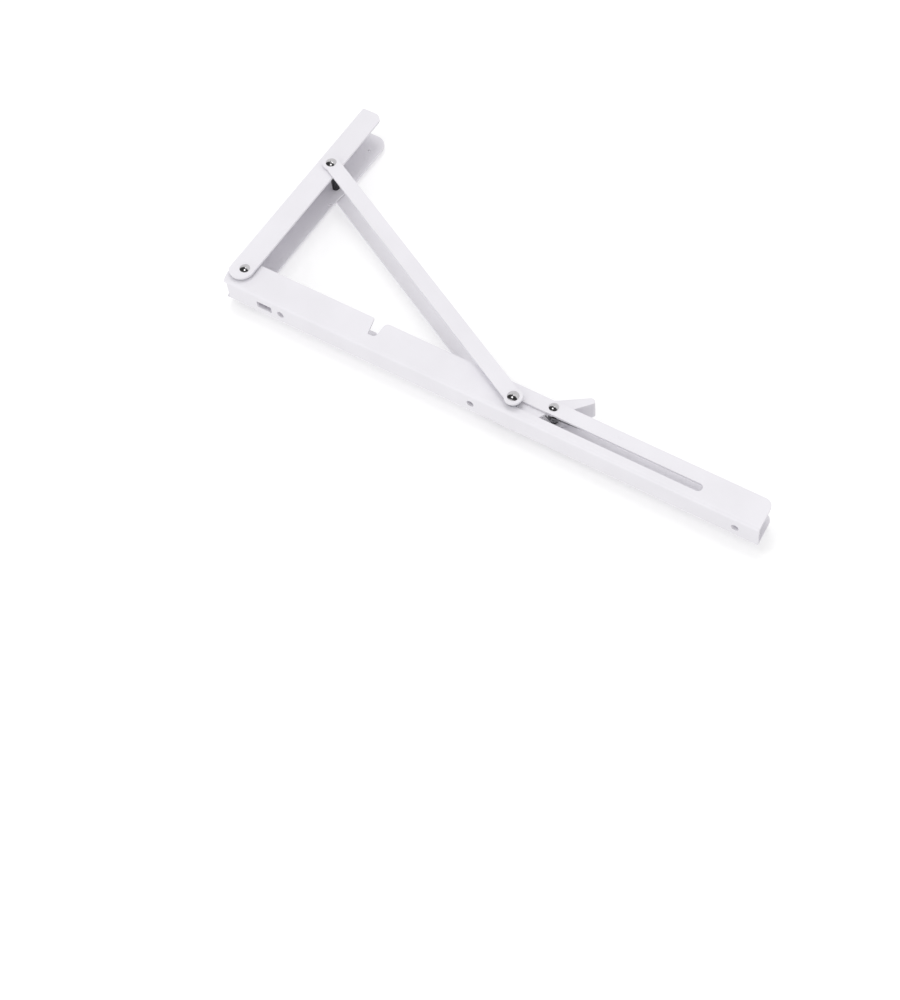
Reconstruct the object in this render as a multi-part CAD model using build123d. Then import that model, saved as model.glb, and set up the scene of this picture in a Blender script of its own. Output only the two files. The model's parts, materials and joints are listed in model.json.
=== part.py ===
from build123d import *
import math
import os

# Folding shelf bracket, opened to a right angle and locked.
# X points out from the wall along the shelf arm, Y across the bracket, Z up.
# The wall is the plane X = 0 and Z = 0 is midway between the two wall screws.

# Sheet metal
sheet = 1.5
bend_outer = 2.3
bend_inner = 0.8

# Clearances
running = 0.05
seated = 0.03
face_gap = 0.1
side_gap = 0.2
strut_gap = 0.5

# Main pivot between the two arms
pivot_x = 9.7
pivot_z = 75.0

# Shelf arm, a channel that opens downwards
arm_across = 16.2
arm_back = 9.4
arm_reach = 342.2
arm_above = 11.85
arm_below = 8.2
arm_end_slant = 1.3
arm_tip_round = 5.0
arm_heel_round = 8.0
arm_heel_step = 1.4
arm_heel_height = 5.6
arm_heel_web_cut = 3.5

# Long slot in both cheeks of the shelf arm
slot_rise = 3.25
slot_width = 5.2
slot_spare = 1.3
pin_locked = 187.0

# Notch that takes the strut's sleeve when the bracket is folded; its foot is deep in the cheek, its lips at
# the free edge
notch_lean = 2.7
notch_inner_room = 0.5
notch_outer_room = 0.15
notch_top = 3.3
notch_inner_foot_round = 0.5
notch_outer_foot_round = 2.2
notch_inner_lip_round = 0.9
notch_outer_lip_round = 3.0

# Screw holes and window in the top of the shelf arm
shelf_hole_inset = 12.6
shelf_hole_places = (31.9, 163.0, arm_reach - shelf_hole_inset)
shelf_hole_radius = 2.3
window_place = 20.3
window_length = 10.4
window_width = 5.0
window_round = 0.8

# Wall arm, a channel that opens away from the wall
nest_gap = 1.7
wall_across = arm_across + 2 * (sheet + nest_gap)
wall_front_width = 6.0
wall_back_width = 8.15
wall_length = 139.6
wall_ear_rise = 0.4
wall_front_tip_round = 5.5
wall_back_tip_round = 8.5
wall_web_start = 8.0
wall_widen_from = 84.0
wall_widen_to = 100.0
wall_hole_inset = 14.6
wall_hole_places = (25.0, wall_length - wall_hole_inset)
wall_hole_radius = 2.6
gauge_hole_places = ((4.2, 78.5), (1.1, wall_length - 12.5))
gauge_hole_radius = 0.75

# Strut, two flat bars outside both arms
strut_low = 91.65
strut_width = 9.5
strut_end_radius = 5.4

# Rivets and shafts
arm_rivet_radius = 2.5
arm_head_radius = 3.15
arm_head_height = 1.2
arm_spacer_radius = 4.6
strut_rivet_radius = 1.75
strut_head_radius = 3.3
strut_head_height = 1.2
strut_sleeve_radius = 2.3
pin_radius = 2.5
pin_core_radius = 2.0
pin_head_radius = 3.45
pin_head_height = 1.4
pin_spacer_radius = 3.9
pin_shank_radius = 2.2

# Latch lever and what it turns on; its reach is from the locked pin
latch_reach = 21.5
latch_x = pin_locked + latch_reach
latch_drop = 4.2
latch_sheet = 1.2
latch_nose_gap = 0.15
latch_rivet_radius = 1.8
latch_head_radius = 2.9
latch_head_height = 1.1
latch_sleeve_radius = 2.3
latch_nose_up = 12.0
latch_nose_down = 10.0
latch_tip_round = 1.8
latch_pad_lean = 5.8
latch_hollow_overrun = 12.0

# Latch spring
wire_radius = 0.45
coil_radius = 3.1
coil_turns = 3.5
coil_pitch = 1.05
anchor_reach = 42.3
anchor_x = latch_x + anchor_reach
anchor_drop = 4.3
anchor_radius = 0.65
anchor_depth = 0.9
dimple_radius = 1.5
dimple_depth = 0.25
hook_share = 0.47
hook_gap = 0.65

arm_half = arm_across / 2
wall_half = wall_across / 2
strut_inner = wall_half + strut_gap
strut_outer = strut_inner + sheet
strut_rise = math.degrees(math.atan2(strut_low + slot_rise, pin_locked))
strut_length = math.hypot(strut_low + slot_rise, pin_locked)
nose_radius = math.hypot(latch_x - pin_locked, latch_drop + slot_rise) - pin_radius - latch_nose_gap
latch_half = arm_half - sheet - side_gap
latch_inner = latch_half - latch_sheet
slot_outer = strut_low + strut_length + slot_width / 2 + slot_spare
notch_foot = strut_low - strut_sleeve_radius - notch_inner_room
notch_right = strut_low + strut_sleeve_radius + notch_outer_room


def at(x, drop):
    # a point of the side view: x out from the main pivot, drop below it
    return (pivot_x + x, 0, pivot_z - drop)


def side_face(points):
    # a flat face in the side view with straight edges
    return make_face(Polyline([at(x, drop) for x, drop in points], close=True))


def side_block(face, y_from, y_to):
    # a side view face made solid between two places across the bracket
    return Pos(0, y_from, 0) * extrude(face, amount=y_to - y_from, dir=(0, 1, 0))


def cross_pin(x, drop, radius, y_from, y_to):
    # a round bar across the bracket
    middle = (y_from + y_to) / 2
    place = Pos(pivot_x + x, middle, pivot_z - drop)
    return place * Rot(90, 0, 0) * Cylinder(radius, abs(y_to - y_from))


def dome(x, drop, radius, height, y_base, side):
    # a low round rivet head that rises away from the bracket's middle
    ball = (radius**2 + height**2) / (2 * height)
    cap = Pos(0, 0, height - ball) * Sphere(ball)
    cap = cap & Pos(0, 0, height / 2) * Cylinder(radius * 1.1, height)
    return Pos(pivot_x + x, y_base, pivot_z - drop) * Rot(-90 * side, 0, 0) * cap


def ring(x, drop, outer, inner, y_from, y_to):
    return cross_pin(x, drop, outer, y_from, y_to) - cross_pin(x, drop, inner, y_from - 1, y_to + 1)


def corner_of(face, x, drop):
    # the corner of a side view face nearest to a given place
    return face.vertices().sort_by_distance(at(x, drop))[0]


def channel_section(across, height, plane):
    # a channel's section with its web along the top and its open side down
    half = across / 2
    outer = plane * Pos(0, -height / 2) * Rectangle(across, height)
    inner = plane * Pos(0, -height / 2 - sheet) * Rectangle(across - 2 * sheet, height)
    top_corners = outer.vertices().sort_by(Axis(plane.origin, plane.y_dir))[-2:]
    outer = fillet(top_corners, bend_outer)
    inner_corners = inner.vertices().sort_by(Axis(plane.origin, plane.y_dir))[-2:]
    inner = fillet(inner_corners, bend_inner)
    return outer - inner


def shelf_arm_outline():
    left = -arm_back
    right = arm_reach
    notch_lip = notch_foot - notch_lean
    face = side_face([
        (left + arm_heel_step, -arm_above),
        (right + arm_end_slant, -arm_above),
        (right, arm_below),
        (notch_right, arm_below),
        (notch_right, -notch_top),
        (notch_foot, -notch_top),
        (notch_lip, arm_below),
        (left, arm_below),
        (left, -arm_heel_height),
    ])
    rounds = [
        (right, arm_below, arm_tip_round),
        (left, arm_below, arm_heel_round),
        (notch_right, arm_below, notch_outer_lip_round),
        (notch_right, -notch_top, notch_outer_foot_round),
        (notch_foot, -notch_top, notch_inner_foot_round),
        (notch_lip, arm_below, notch_inner_lip_round),
    ]
    for x, drop, size in rounds:
        face = fillet(corner_of(face, x, drop), size)
    return face


def shelf_slot():
    left = pin_locked - slot_width / 2
    middle = (left + slot_outer) / 2
    shape = Plane.XZ * SlotOverall(slot_outer - left, slot_width)
    shape = Pos(pivot_x + middle, 0, pivot_z + slot_rise) * shape
    return side_block(shape, -arm_half - 1, arm_half + 1)


def shelf_arm():
    length = arm_back + arm_reach + arm_end_slant + 2
    plane = Plane(origin=(pivot_x - arm_back - 1, 0, pivot_z + arm_above), x_dir=(0, 1, 0), z_dir=(1, 0, 0))
    body = extrude(channel_section(arm_across, arm_above + arm_below, plane), amount=length)
    body = body & side_block(shelf_arm_outline(), -arm_half - 1, arm_half + 1)
    body -= shelf_slot()
    top = pivot_z + arm_above - sheet / 2
    cut = Box(arm_heel_web_cut * 2, arm_across - 2 * sheet, sheet * 3)
    body -= Pos(pivot_x - arm_back, 0, top) * cut
    for place in shelf_hole_places:
        body -= Pos(pivot_x + place, 0, top) * Cylinder(shelf_hole_radius, sheet * 3)
    window = extrude(RectangleRounded(window_length, window_width, window_round), amount=sheet * 3, both=True)
    body -= Pos(pivot_x + window_place, 0, top) * window
    body -= cross_pin(0, 0, arm_rivet_radius + running, -arm_half - 1, arm_half + 1)
    body -= cross_pin(latch_x, latch_drop, latch_rivet_radius + seated, -arm_half - 1, arm_half + 1)
    blind = arm_half - sheet + anchor_depth
    body -= cross_pin(anchor_x, anchor_drop, anchor_radius, 0, blind)
    body -= dome(anchor_x, anchor_drop, dimple_radius, dimple_depth, arm_half, -1)
    return body


def wall_outline(foot_width, tip_round):
    # foot_width is how far the free edge stands out from the pivot line at the lower end
    ear_radius = (pivot_x + wall_front_width) / 2
    widening = [(foot_width, wall_widen_to), (wall_front_width, wall_widen_from)]
    face = side_face([
        (-pivot_x, -wall_ear_rise),
        (-pivot_x, wall_length),
        (foot_width, wall_length),
        *(widening if foot_width != wall_front_width else []),
        (wall_front_width, -wall_ear_rise),
    ])
    face = fillet(corner_of(face, foot_width, wall_length), tip_round)
    ear = Pos(*at(wall_front_width - ear_radius, -wall_ear_rise)) * (Plane.XZ * Circle(ear_radius))
    return face + ear


def wall_arm():
    depth = pivot_x + max(wall_front_width, wall_back_width)
    foot = pivot_z - wall_length - 1
    top = pivot_z + pivot_x + wall_ear_rise
    plane = Plane(origin=(0, 0, foot), x_dir=(0, 1, 0), z_dir=(0, 0, 1))
    body = extrude(channel_section(wall_across, depth, plane), amount=top - foot)
    outline = side_block(wall_outline(wall_front_width, wall_front_tip_round), 0, wall_half + 1)
    outline += side_block(wall_outline(wall_back_width, wall_back_tip_round), -wall_half - 1, 0)
    body = body & outline
    web_top = pivot_z - wall_web_start
    window = Box(bend_outer * 2, wall_across - 2 * sheet, top + 1 - web_top)
    body -= Pos(0, 0, (top + 1 + web_top) / 2) * window
    for place in wall_hole_places:
        body -= Pos(0, 0, pivot_z - place) * Rot(0, 90, 0) * Cylinder(wall_hole_radius, sheet * 3)
    for x, drop in gauge_hole_places:
        body -= cross_pin(x, drop, gauge_hole_radius, -wall_half - 1, 0)
    body -= cross_pin(0, 0, arm_rivet_radius + seated, -wall_half - 1, wall_half + 1)
    body -= cross_pin(0, strut_low, strut_rivet_radius + running, -wall_half - 1, wall_half + 1)
    return body


def strut_bar(y_from, y_to):
    bar = Rectangle(strut_length, strut_width)
    for place in (-strut_length / 2, strut_length / 2):
        bar += Pos(place, 0) * Circle(strut_end_radius)
    bar -= Pos(-strut_length / 2, 0) * Circle(strut_rivet_radius + seated)
    bar -= Pos(strut_length / 2, 0) * Circle(pin_shank_radius + seated)
    shape = Plane.XZ * Rot(0, 0, strut_rise) * Pos(strut_length / 2, 0) * bar
    x, _, z = at(0, strut_low)
    return side_block(Pos(x, 0, z) * shape, y_from, y_to)


def through_rivet(x, drop, radius, reach, head_radius, head_height):
    body = cross_pin(x, drop, radius, -reach, reach)
    for side in (-1, 1):
        body += dome(x, drop, head_radius, head_height, side * reach, side)
    return body


def pin_head(side):
    # the outer end of the slot pin, which stays with the strut's bar
    inner = strut_inner + face_gap
    seat = strut_outer + face_gap
    body = cross_pin(pin_locked, -slot_rise, pin_shank_radius, side * inner, side * seat)
    return body + dome(pin_locked, -slot_rise, pin_head_radius, pin_head_height, side * seat, side)


def pin_end(side):
    # the part of the slot pin that runs in one cheek's slot
    inner = arm_half - sheet - running
    outer = strut_inner - face_gap
    return cross_pin(pin_locked, -slot_rise, pin_radius, side * inner, side * outer)


def pin_spacer(side):
    inner = arm_half + face_gap
    outer = strut_inner - face_gap
    low, high = sorted((side * inner, side * outer))
    return ring(pin_locked, -slot_rise, pin_spacer_radius, pin_radius + seated, low, high)


def arm_spacer(side):
    inner = arm_half + face_gap
    outer = wall_half - sheet - face_gap
    low, high = sorted((side * inner, side * outer))
    return ring(0, 0, arm_spacer_radius, arm_rivet_radius + seated, low, high)


def polar(radius, angle):
    # a point at an angle about the latch rivet, measured from it
    turn = math.radians(angle)
    return (radius * math.cos(turn), radius * math.sin(turn))


def from_latch(point):
    # a side view place given as a step from the latch rivet
    return at(latch_x + point[0], latch_drop + point[1])


# Outline of the lever's cheeks, as steps out along the arm and down from the latch rivet
pad_foot = (10.2, 5.4)
pad_tip = (19.4, 16.0)
lever_under = [
    (-18.4, -1.1),
    (-4.8, 3.8),
    (-1.4, 5.6),
    (14.6, 16.6),
]
lever_over = [
    (6.6, 0.2),
    (3.4, -3.4),
    (0.4, -4.6),
    (-1.8, -4.3),
    (-4.2, -8.7),
    (-6.2, -10.2),
]


def lever_outline():
    pin_angle = 180 + math.degrees(math.atan2(latch_drop + slot_rise, latch_x - pin_locked))
    foot = from_latch(polar(nose_radius, pin_angle + latch_nose_up))
    middle = from_latch(polar(nose_radius, pin_angle))
    top = from_latch(polar(nose_radius, pin_angle - latch_nose_down))
    edge = [from_latch(point) for point in lever_under + [pad_tip, pad_foot] + lever_over]
    face = make_face(ThreePointArc(foot, middle, top) + Polyline([top] + edge + [foot]))
    for point in (lever_under[-1], pad_tip):
        corner = face.vertices().sort_by_distance(from_latch(point))[0]
        face = fillet(corner, latch_tip_round)
    return face


def lever_hollow():
    # the space between the cheeks, with the thumb pad left standing
    run = (pad_tip[0] - pad_foot[0], pad_tip[1] - pad_foot[1])
    size = math.hypot(*run)
    along = (run[0] / size, run[1] / size)
    inward = (-along[1] * latch_sheet, along[0] * latch_sheet)
    beyond = nose_radius * 1.5
    tip = (pad_tip[0] + along[0] * latch_hollow_overrun, pad_tip[1] + along[1] * latch_hollow_overrun)
    corners = [
        (pad_foot[0] + inward[0], pad_foot[1] + inward[1]),
        (tip[0] + inward[0], tip[1] + inward[1]),
        (-beyond, beyond * 2),
        (-beyond, -beyond),
        (pad_foot[0] + latch_pad_lean, -beyond),
        pad_foot,
    ]
    return make_face(Polyline([from_latch(point) for point in corners], close=True))


def latch_lever():
    body = side_block(lever_outline(), -latch_half, latch_half)
    body -= side_block(lever_hollow(), -latch_inner, latch_inner)
    body -= cross_pin(latch_x, latch_drop, latch_rivet_radius + running, -latch_half - 1, latch_half + 1)
    return body


def wire_section(place, direction):
    return Plane(place, z_dir=direction) * RegularPolygon(wire_radius, 8)


def hook_place():
    # where the spring's leg bears on the lever's lower edge
    (x, drop), (end_x, end_drop) = lever_under[:2]
    run = (end_x - x, end_drop - drop)
    size = math.hypot(*run)
    off = wire_radius + hook_gap
    return (x + run[0] * hook_share - run[1] / size * off, drop + run[1] * hook_share + run[0] / size * off)


def leg(start, target, y_end):
    # a straight run of wire beside the coil and a short turned end
    corner = Vector(target.X, start.Y, target.Z)
    path = Polyline([start, corner, Vector(target.X, y_end, target.Z)])
    return sweep(wire_section(start, corner - start), path=path, transition=Transition.RIGHT)


def latch_spring():
    # coil about the latch rivet, one leg over the lever's cheek and one hooked in the arm's cheek
    length = coil_turns * coil_pitch
    centre = at(latch_x, latch_drop)
    helix = Helix(coil_pitch, length, coil_radius)
    helix = Pos(centre[0], length / 2, centre[2]) * Rot(90, 0, 0) * helix
    coil = sweep(wire_section(helix @ 0, helix % 0), path=helix)
    front, back = sorted((helix @ 0, helix @ 1), key=lambda end: -end.Y)
    anchor = Vector(*at(anchor_x, anchor_drop))
    hook = Vector(*from_latch(hook_place()))
    return coil + leg(front, anchor, arm_half - sheet / 2) + leg(back, hook, -latch_half)


nodes = {
    "shelf_arm": shelf_arm(),
    "wall_arm": wall_arm(),
    "strut_bar_front": strut_bar(strut_inner, strut_outer),
    "strut_bar_back": strut_bar(-strut_outer, -strut_inner),
    "arm_pivot_rivet": through_rivet(
        0, 0, arm_rivet_radius, wall_half + seated, arm_head_radius, arm_head_height),
    "arm_pivot_spacer_front": arm_spacer(1),
    "arm_pivot_spacer_back": arm_spacer(-1),
    "strut_pivot_rivet": through_rivet(
        0, strut_low, strut_rivet_radius, strut_outer + seated, strut_head_radius, strut_head_height),
    "strut_pivot_sleeve": ring(
        0, strut_low, strut_sleeve_radius, strut_rivet_radius + seated,
        -wall_half + sheet + face_gap, wall_half - sheet - face_gap),
    "slot_pin_head_front": pin_head(1),
    "slot_pin_head_back": pin_head(-1),
    "slot_pin_end_front": pin_end(1),
    "slot_pin_end_back": pin_end(-1),
    "slot_pin_core": cross_pin(
        pin_locked, -slot_rise, pin_core_radius, -latch_inner + face_gap, latch_inner - face_gap),
    "slot_pin_spacer_front": pin_spacer(1),
    "slot_pin_spacer_back": pin_spacer(-1),
    "latch_lever": latch_lever(),
    "latch_rivet": through_rivet(
        latch_x, latch_drop, latch_rivet_radius, arm_half + seated, latch_head_radius, latch_head_height),
    "latch_sleeve": ring(
        latch_x, latch_drop, latch_sleeve_radius, latch_rivet_radius + seated,
        -latch_inner + side_gap, latch_inner - side_gap),
    "latch_spring": latch_spring(),
}

os.makedirs("parts", exist_ok=True)
for name, shape in nodes.items():
    export_step(shape, f"parts/{name}.step")
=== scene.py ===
# Looks of the folding shelf bracket, the wire of its latch spring, its camera and its light

import json
import math

import bpy
from mathutils import Euler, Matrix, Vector


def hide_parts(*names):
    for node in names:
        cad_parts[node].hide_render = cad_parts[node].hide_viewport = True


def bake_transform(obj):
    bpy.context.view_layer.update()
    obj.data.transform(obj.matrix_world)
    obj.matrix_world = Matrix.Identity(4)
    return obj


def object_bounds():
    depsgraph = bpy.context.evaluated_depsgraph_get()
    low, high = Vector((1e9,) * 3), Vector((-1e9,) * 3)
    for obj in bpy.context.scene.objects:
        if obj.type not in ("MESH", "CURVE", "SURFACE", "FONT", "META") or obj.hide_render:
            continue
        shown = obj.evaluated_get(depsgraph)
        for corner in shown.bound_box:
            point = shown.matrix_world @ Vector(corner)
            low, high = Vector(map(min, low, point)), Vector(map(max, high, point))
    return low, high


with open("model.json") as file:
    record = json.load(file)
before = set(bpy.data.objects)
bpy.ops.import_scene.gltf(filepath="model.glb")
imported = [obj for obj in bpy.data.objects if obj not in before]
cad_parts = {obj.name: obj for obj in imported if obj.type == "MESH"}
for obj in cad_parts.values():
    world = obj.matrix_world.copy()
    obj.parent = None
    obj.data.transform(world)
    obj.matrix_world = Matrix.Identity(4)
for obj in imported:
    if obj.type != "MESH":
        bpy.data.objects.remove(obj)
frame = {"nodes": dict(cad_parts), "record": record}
cad_low, cad_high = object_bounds()
middle = (cad_low + cad_high) / 2

# Camera, its place in metres, its turn in degrees, its lens and sensor in millimetres
camera_place = (0.56695, 0.90277, 0.59593)
camera_turn = (-60.3915, 32.1515, -5.4532)
camera_lens = 70.949
camera_sensor = 36.0

# Powder coat, with peel for its fine waviness and drift for its slow change of shade
coat_colour = (0.814, 0.799, 0.84)
coat_shade = (0.779, 0.764, 0.803)
coat_smooth = 0.33
coat_rough = 0.45
coat_detail = 2.0
peel_size = 0.0011
peel_depth = 0.00003
drift_size = 0.03

# Metals by material slot, with the size and the depth of their grain in metres
metals = {
    "nickel_plate": {"colour": (0.6, 0.59, 0.605), "roughness": 0.12, "grain": 0.002, "depth": 0.000005},
    "zinc_plate": {"colour": (0.62, 0.63, 0.65), "roughness": 0.3, "grain": 0.001, "depth": 0.00001},
    "dark_steel": {"colour": (0.07, 0.07, 0.074), "roughness": 0.35, "grain": 0.001, "depth": 0.00001},
    "spring_wire": {"colour": (0.32, 0.32, 0.33), "roughness": 0.3, "grain": 0.0005, "depth": 0.00001},
}
metal_detail = 4.0

# How far a metal's grain darkens its colour and changes its roughness, as factors
grain_darkest = 0.85
grain_smoothest = 0.7
grain_roughest = 1.3

# The middle part of a noise, which is stretched to its full range
noise_low = 0.3
noise_high = 0.7

# Latch spring, wound about the latch rivet, in the places that its solid has
spring_axis = (0.2182, 0.0708)
spring_anchor = (0.2605, 0.00735, 0.0707)
spring_hook = (0.206, -0.0064, 0.06908)
coil_half = 0.00184
coil_radius = 0.0031
wire_radius = 0.00045
coil_turns = 3
bend_radius = 0.0009
bend_steps = 6
turn_steps = 24
wire_sides = 12

# Lamps, with places and sizes in metres
lamps = {
    "key": {"place": (-0.2, 2.5, -0.6), "size": 0.9, "watts": 10.0},
    "fill": {"place": (0.0, 0.12, 1.2), "size": 0.5, "watts": 2.1},
    "back": {"place": (-0.45, -0.95, -0.35), "size": 0.6, "watts": 1.6},
    "glint": {"place": (0.02, 0.93, 0.26), "size": 0.3, "watts": 0.8},
}

# World, card and floor
world_level = 0.84
card_place = (0.02, 1.0, 0.24)
card_length = 8.0
card_height = 1.3
card_grey = 0.05
floor_size = 1.6
floor_grey = 0.95
floor_glow = 0.1


def add_object(name, data):
    thing = bpy.data.objects.new(name, data)
    bpy.context.scene.collection.objects.link(thing)
    return thing


def new_material(name):
    material = bpy.data.materials.new(name)
    material.use_nodes = True
    return material, material.node_tree.nodes["Principled BSDF"]


def add_node(material, kind, **values):
    node = material.node_tree.nodes.new(kind)
    for name, value in values.items():
        node.inputs[name].default_value = value
    return node


def link(material, output, target):
    material.node_tree.links.new(output, target)


def noise(material, size, detail):
    # smooth random pattern with features of about a given size in metres
    place = material.node_tree.nodes.new("ShaderNodeTexCoord")
    node = add_node(material, "ShaderNodeTexNoise", Scale=1 / size, Detail=detail)
    link(material, place.outputs["Object"], node.inputs["Vector"])
    return node.outputs["Fac"]


def spread(material, value, low, high):
    # a noise stretched to run from low to high
    node = add_node(material, "ShaderNodeMapRange")
    node.inputs["From Min"].default_value = noise_low
    node.inputs["From Max"].default_value = noise_high
    node.inputs["To Min"].default_value = low
    node.inputs["To Max"].default_value = high
    link(material, value, node.inputs["Value"])
    return node.outputs["Result"]


def blend_colours(material, factor, first, second):
    node = material.node_tree.nodes.new("ShaderNodeMix")
    node.data_type = "RGBA"
    link(material, factor, node.inputs["Factor"])
    node.inputs["A"].default_value = (*first, 1)
    node.inputs["B"].default_value = (*second, 1)
    return node.outputs["Result"]


def bump(material, height, depth):
    node = add_node(material, "ShaderNodeBump", Distance=depth, Strength=1.0)
    link(material, height, node.inputs["Height"])
    return node.outputs["Normal"]


def powder_coat():
    material, shader = new_material("powder_coat")
    drift = spread(material, noise(material, drift_size, coat_detail), 0.0, 1.0)
    link(material, blend_colours(material, drift, coat_colour, coat_shade), shader.inputs["Base Color"])
    peel = noise(material, peel_size, coat_detail)
    link(material, spread(material, peel, coat_smooth, coat_rough), shader.inputs["Roughness"])
    link(material, bump(material, peel, peel_depth), shader.inputs["Normal"])
    return material


def metal(name, colour, roughness, grain, depth):
    material, shader = new_material(name)
    shader.inputs["Metallic"].default_value = 1.0
    tone = noise(material, grain, metal_detail)
    darker = tuple(grain_darkest * value for value in colour)
    mixed = blend_colours(material, spread(material, tone, 0.0, 1.0), colour, darker)
    link(material, mixed, shader.inputs["Base Color"])
    rough = spread(material, tone, roughness * grain_smoothest, roughness * grain_roughest)
    link(material, rough, shader.inputs["Roughness"])
    link(material, bump(material, tone, depth), shader.inputs["Normal"])
    return material


def assign(material, slot_name):
    for entry in frame["record"]["subparts"]:
        if entry["material_slot"] == slot_name:
            node = frame["nodes"][entry["node"]]
            node.data.materials.clear()
            node.data.materials.append(material)


def rounded(points, radius):
    # a line through the points, with short curves for its corners
    line = [points[0]]
    for before, corner, after in zip(points, points[1:], points[2:]):
        first = corner + (before - corner).normalized() * radius
        last = corner + (after - corner).normalized() * radius
        for step in range(bend_steps + 1):
            share = step / bend_steps
            line.append(first.lerp(corner, share).lerp(corner.lerp(last, share), share))
    line.append(points[-1])
    return line


def touching_angle(place, side):
    # where on the coil a straight leg from a place touches it, on one side or the other
    x = place[0] - spring_axis[0]
    z = place[2] - spring_axis[1]
    return (math.atan2(z, x) + side * math.acos(coil_radius / math.hypot(x, z))) % math.tau


def spring_line():
    # the middle of the wire, from the anchor round the coil to the hook under the lever
    first = touching_angle(spring_anchor, 1)
    last = touching_angle(spring_hook, -1) + coil_turns * math.tau
    steps = round((last - first) / math.tau * turn_steps)
    coil = []
    for step in range(steps + 1):
        share = step / steps
        turn = first + (last - first) * share
        x = spring_axis[0] + coil_radius * math.cos(turn)
        z = spring_axis[1] + coil_radius * math.sin(turn)
        coil.append(Vector((x, coil_half * (1 - 2 * share), z)))
    anchor = Vector(spring_anchor)
    hook = Vector(spring_hook)
    front_leg = [anchor, Vector((anchor.x, coil_half, anchor.z)), coil[0]]
    back_leg = [coil[-1], Vector((hook.x, -coil_half, hook.z)), hook]
    return rounded(front_leg, bend_radius)[:-1] + coil + rounded(back_leg, bend_radius)[1:]


def wire_mesh(name, line, radius):
    # a round wire along a line, closed by a flat face at each end
    points = []
    side = Vector((0, 0, 1))
    for here, before, after in zip(line, line[:1] + line[:-1], line[1:] + line[-1:]):
        along = (after - before).normalized()
        side = (side - along * side.dot(along)).normalized()
        up = along.cross(side)
        for step in range(wire_sides):
            turn = math.tau * step / wire_sides
            points.append(here + radius * (math.cos(turn) * side + math.sin(turn) * up))
    faces = []
    for start in range(0, len(points) - wire_sides, wire_sides):
        following = start + wire_sides
        for step in range(wire_sides):
            other = (step + 1) % wire_sides
            faces.append((start + step, start + other, following + other, following + step))
    faces.append(tuple(reversed(range(wire_sides))))
    faces.append(tuple(range(len(points) - wire_sides, len(points))))
    mesh = bpy.data.meshes.new(name)
    mesh.from_pydata(points, [], faces)
    for face in mesh.polygons[:-2]:
        face.use_smooth = True
    return mesh


def make_spring(material):
    # one leg at its anchor on the shelf arm and the other at the hook under the lever, with the coil
    # wound between them, drawn in one pose
    mesh = wire_mesh("latch_spring_wire", spring_line(), wire_radius)
    mesh.materials.append(material)
    spring = add_object("latch_spring_wire", mesh)
    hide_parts("latch_spring")
    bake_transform(spring)


def make_camera():
    data = bpy.data.cameras.new("camera")
    data.lens = camera_lens
    data.sensor_width = camera_sensor
    camera = add_object("camera", data)
    camera.location = camera_place
    camera.rotation_euler = Euler([math.radians(angle) for angle in camera_turn])
    bpy.context.scene.camera = camera


def facing_object(place):
    # the turn that points local -Z at the middle of the bracket
    return (Vector(place) - middle).to_track_quat("Z", "Y").to_euler()


def area_light(name, place, size, watts):
    data = bpy.data.lights.new(name, "AREA")
    data.size = size
    data.energy = watts
    light = add_object(name, data)
    light.location = place
    light.rotation_euler = facing_object(place)


def flat_face(name, corners):
    mesh = bpy.data.meshes.new(name)
    mesh.from_pydata(corners, [], [(0, 1, 2, 3)])
    return add_object(name, mesh)


def make_card():
    # a dark card behind the glint lamp that only reflections see
    across = card_length / 2
    up = card_height / 2
    card = flat_face("card", [(-across, -up, 0), (across, -up, 0), (across, up, 0), (-across, up, 0)])
    card.location = card_place
    card.rotation_euler = facing_object(card_place)
    material, shader = new_material("card")
    shader.inputs["Base Color"].default_value = (card_grey, card_grey, card_grey, 1)
    shader.inputs["Roughness"].default_value = 1.0
    card.data.materials.append(material)
    card.visible_camera = False
    card.visible_diffuse = False
    card.visible_shadow = False
    card.visible_transmission = False


def background_rays(tree):
    # 1 for the rays that show the background, straight on or in metal, and 0 for those that light things
    path = tree.nodes.new("ShaderNodeLightPath")
    total = path.outputs["Is Camera Ray"]
    for name in ("Is Glossy Ray", "Is Transmission Ray"):
        either = tree.nodes.new("ShaderNodeMath")
        either.operation = "MAXIMUM"
        tree.links.new(total, either.inputs[0])
        tree.links.new(path.outputs[name], either.inputs[1])
        total = either.outputs[0]
    return total


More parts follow.
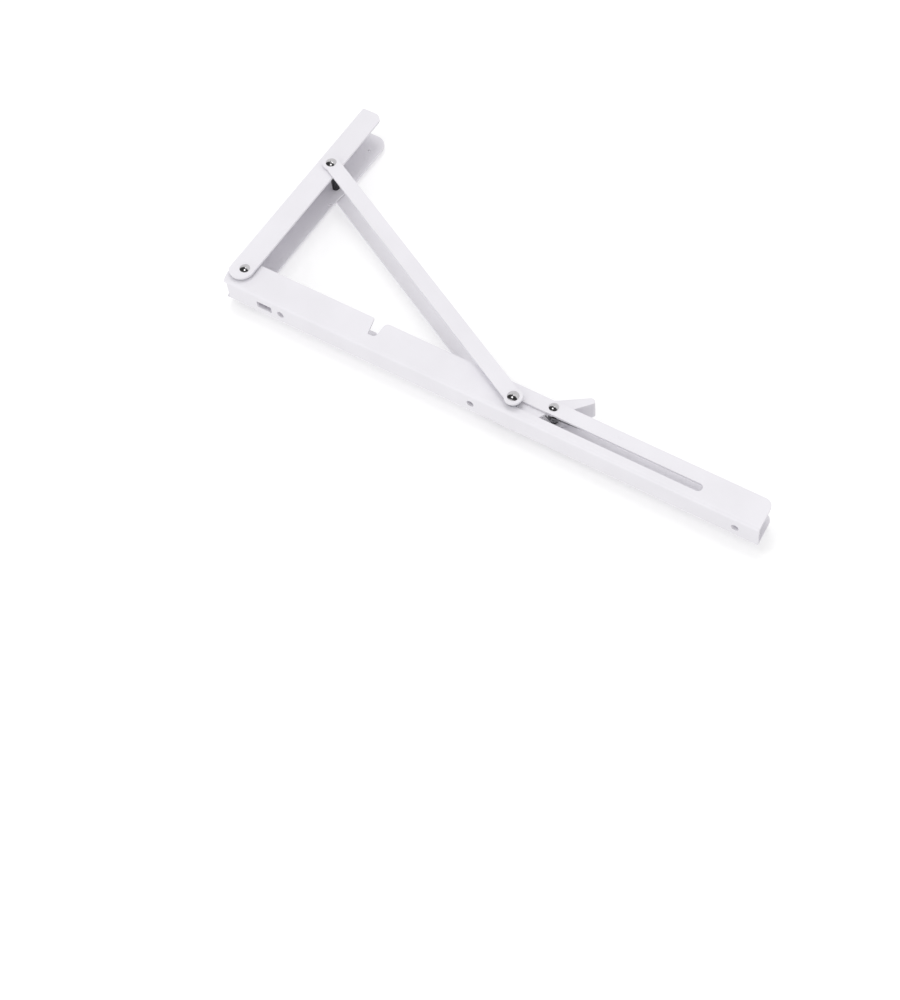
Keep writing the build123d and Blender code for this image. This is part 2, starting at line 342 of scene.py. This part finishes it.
def make_world():
    # white to look at, and a little dimmer as a light
    world = bpy.data.worlds.new("world")
    bpy.context.scene.world = world
    world.use_nodes = True
    nodes = world.node_tree.nodes
    background = nodes["Background"]
    background.inputs["Color"].default_value = (1, 1, 1, 1)
    level = nodes.new("ShaderNodeMapRange")
    level.inputs["To Min"].default_value = world_level
    level.inputs["To Max"].default_value = 1.0
    world.node_tree.links.new(background_rays(world.node_tree), level.inputs["Value"])
    world.node_tree.links.new(level.outputs["Result"], background.inputs["Strength"])


def floor_material():
    # shaded paper with a faint glow from the front, and clear from behind and to the light
    material, shader = new_material("floor")
    nodes = material.node_tree.nodes
    nodes.remove(shader)
    paper = add_node(material, "ShaderNodeBsdfDiffuse", Color=(floor_grey, floor_grey, floor_grey, 1))
    glow = add_node(material, "ShaderNodeEmission", Strength=floor_glow)
    both = nodes.new("ShaderNodeAddShader")
    clear = nodes.new("ShaderNodeBsdfTransparent")
    side = nodes.new("ShaderNodeNewGeometry")
    front = add_node(material, "ShaderNodeMath")
    front.operation = "SUBTRACT"
    front.use_clamp = True
    shown = nodes.new("ShaderNodeMixShader")
    link(material, paper.outputs[0], both.inputs[0])
    link(material, glow.outputs[0], both.inputs[1])
    link(material, background_rays(material.node_tree), front.inputs[0])
    link(material, side.outputs["Backfacing"], front.inputs[1])
    link(material, front.outputs[0], shown.inputs["Fac"])
    link(material, clear.outputs[0], shown.inputs[1])
    link(material, both.outputs[0], shown.inputs[2])
    link(material, shown.outputs[0], nodes["Material Output"].inputs["Surface"])
    return material


def make_floor():
    # the surface that the bracket lies on
    half = floor_size / 2
    back = cad_low.y
    left = middle.x - half
    right = middle.x + half
    low = middle.z - half
    high = middle.z + half
    corners = [(left, back, low), (left, back, high), (right, back, high), (right, back, low)]
    floor = flat_face("floor", corners)
    floor.data.materials.append(floor_material())


assign(powder_coat(), "white_coat")
finishes = {}
for slot_name, look in metals.items():
    finishes[slot_name] = metal(slot_name, **look)
    assign(finishes[slot_name], slot_name)
make_spring(finishes["spring_wire"])

make_camera()
make_world()
for lamp_name, lamp in lamps.items():
    area_light(lamp_name, **lamp)
make_card()
make_floor()
bpy.context.scene.view_settings.view_transform = "Standard"
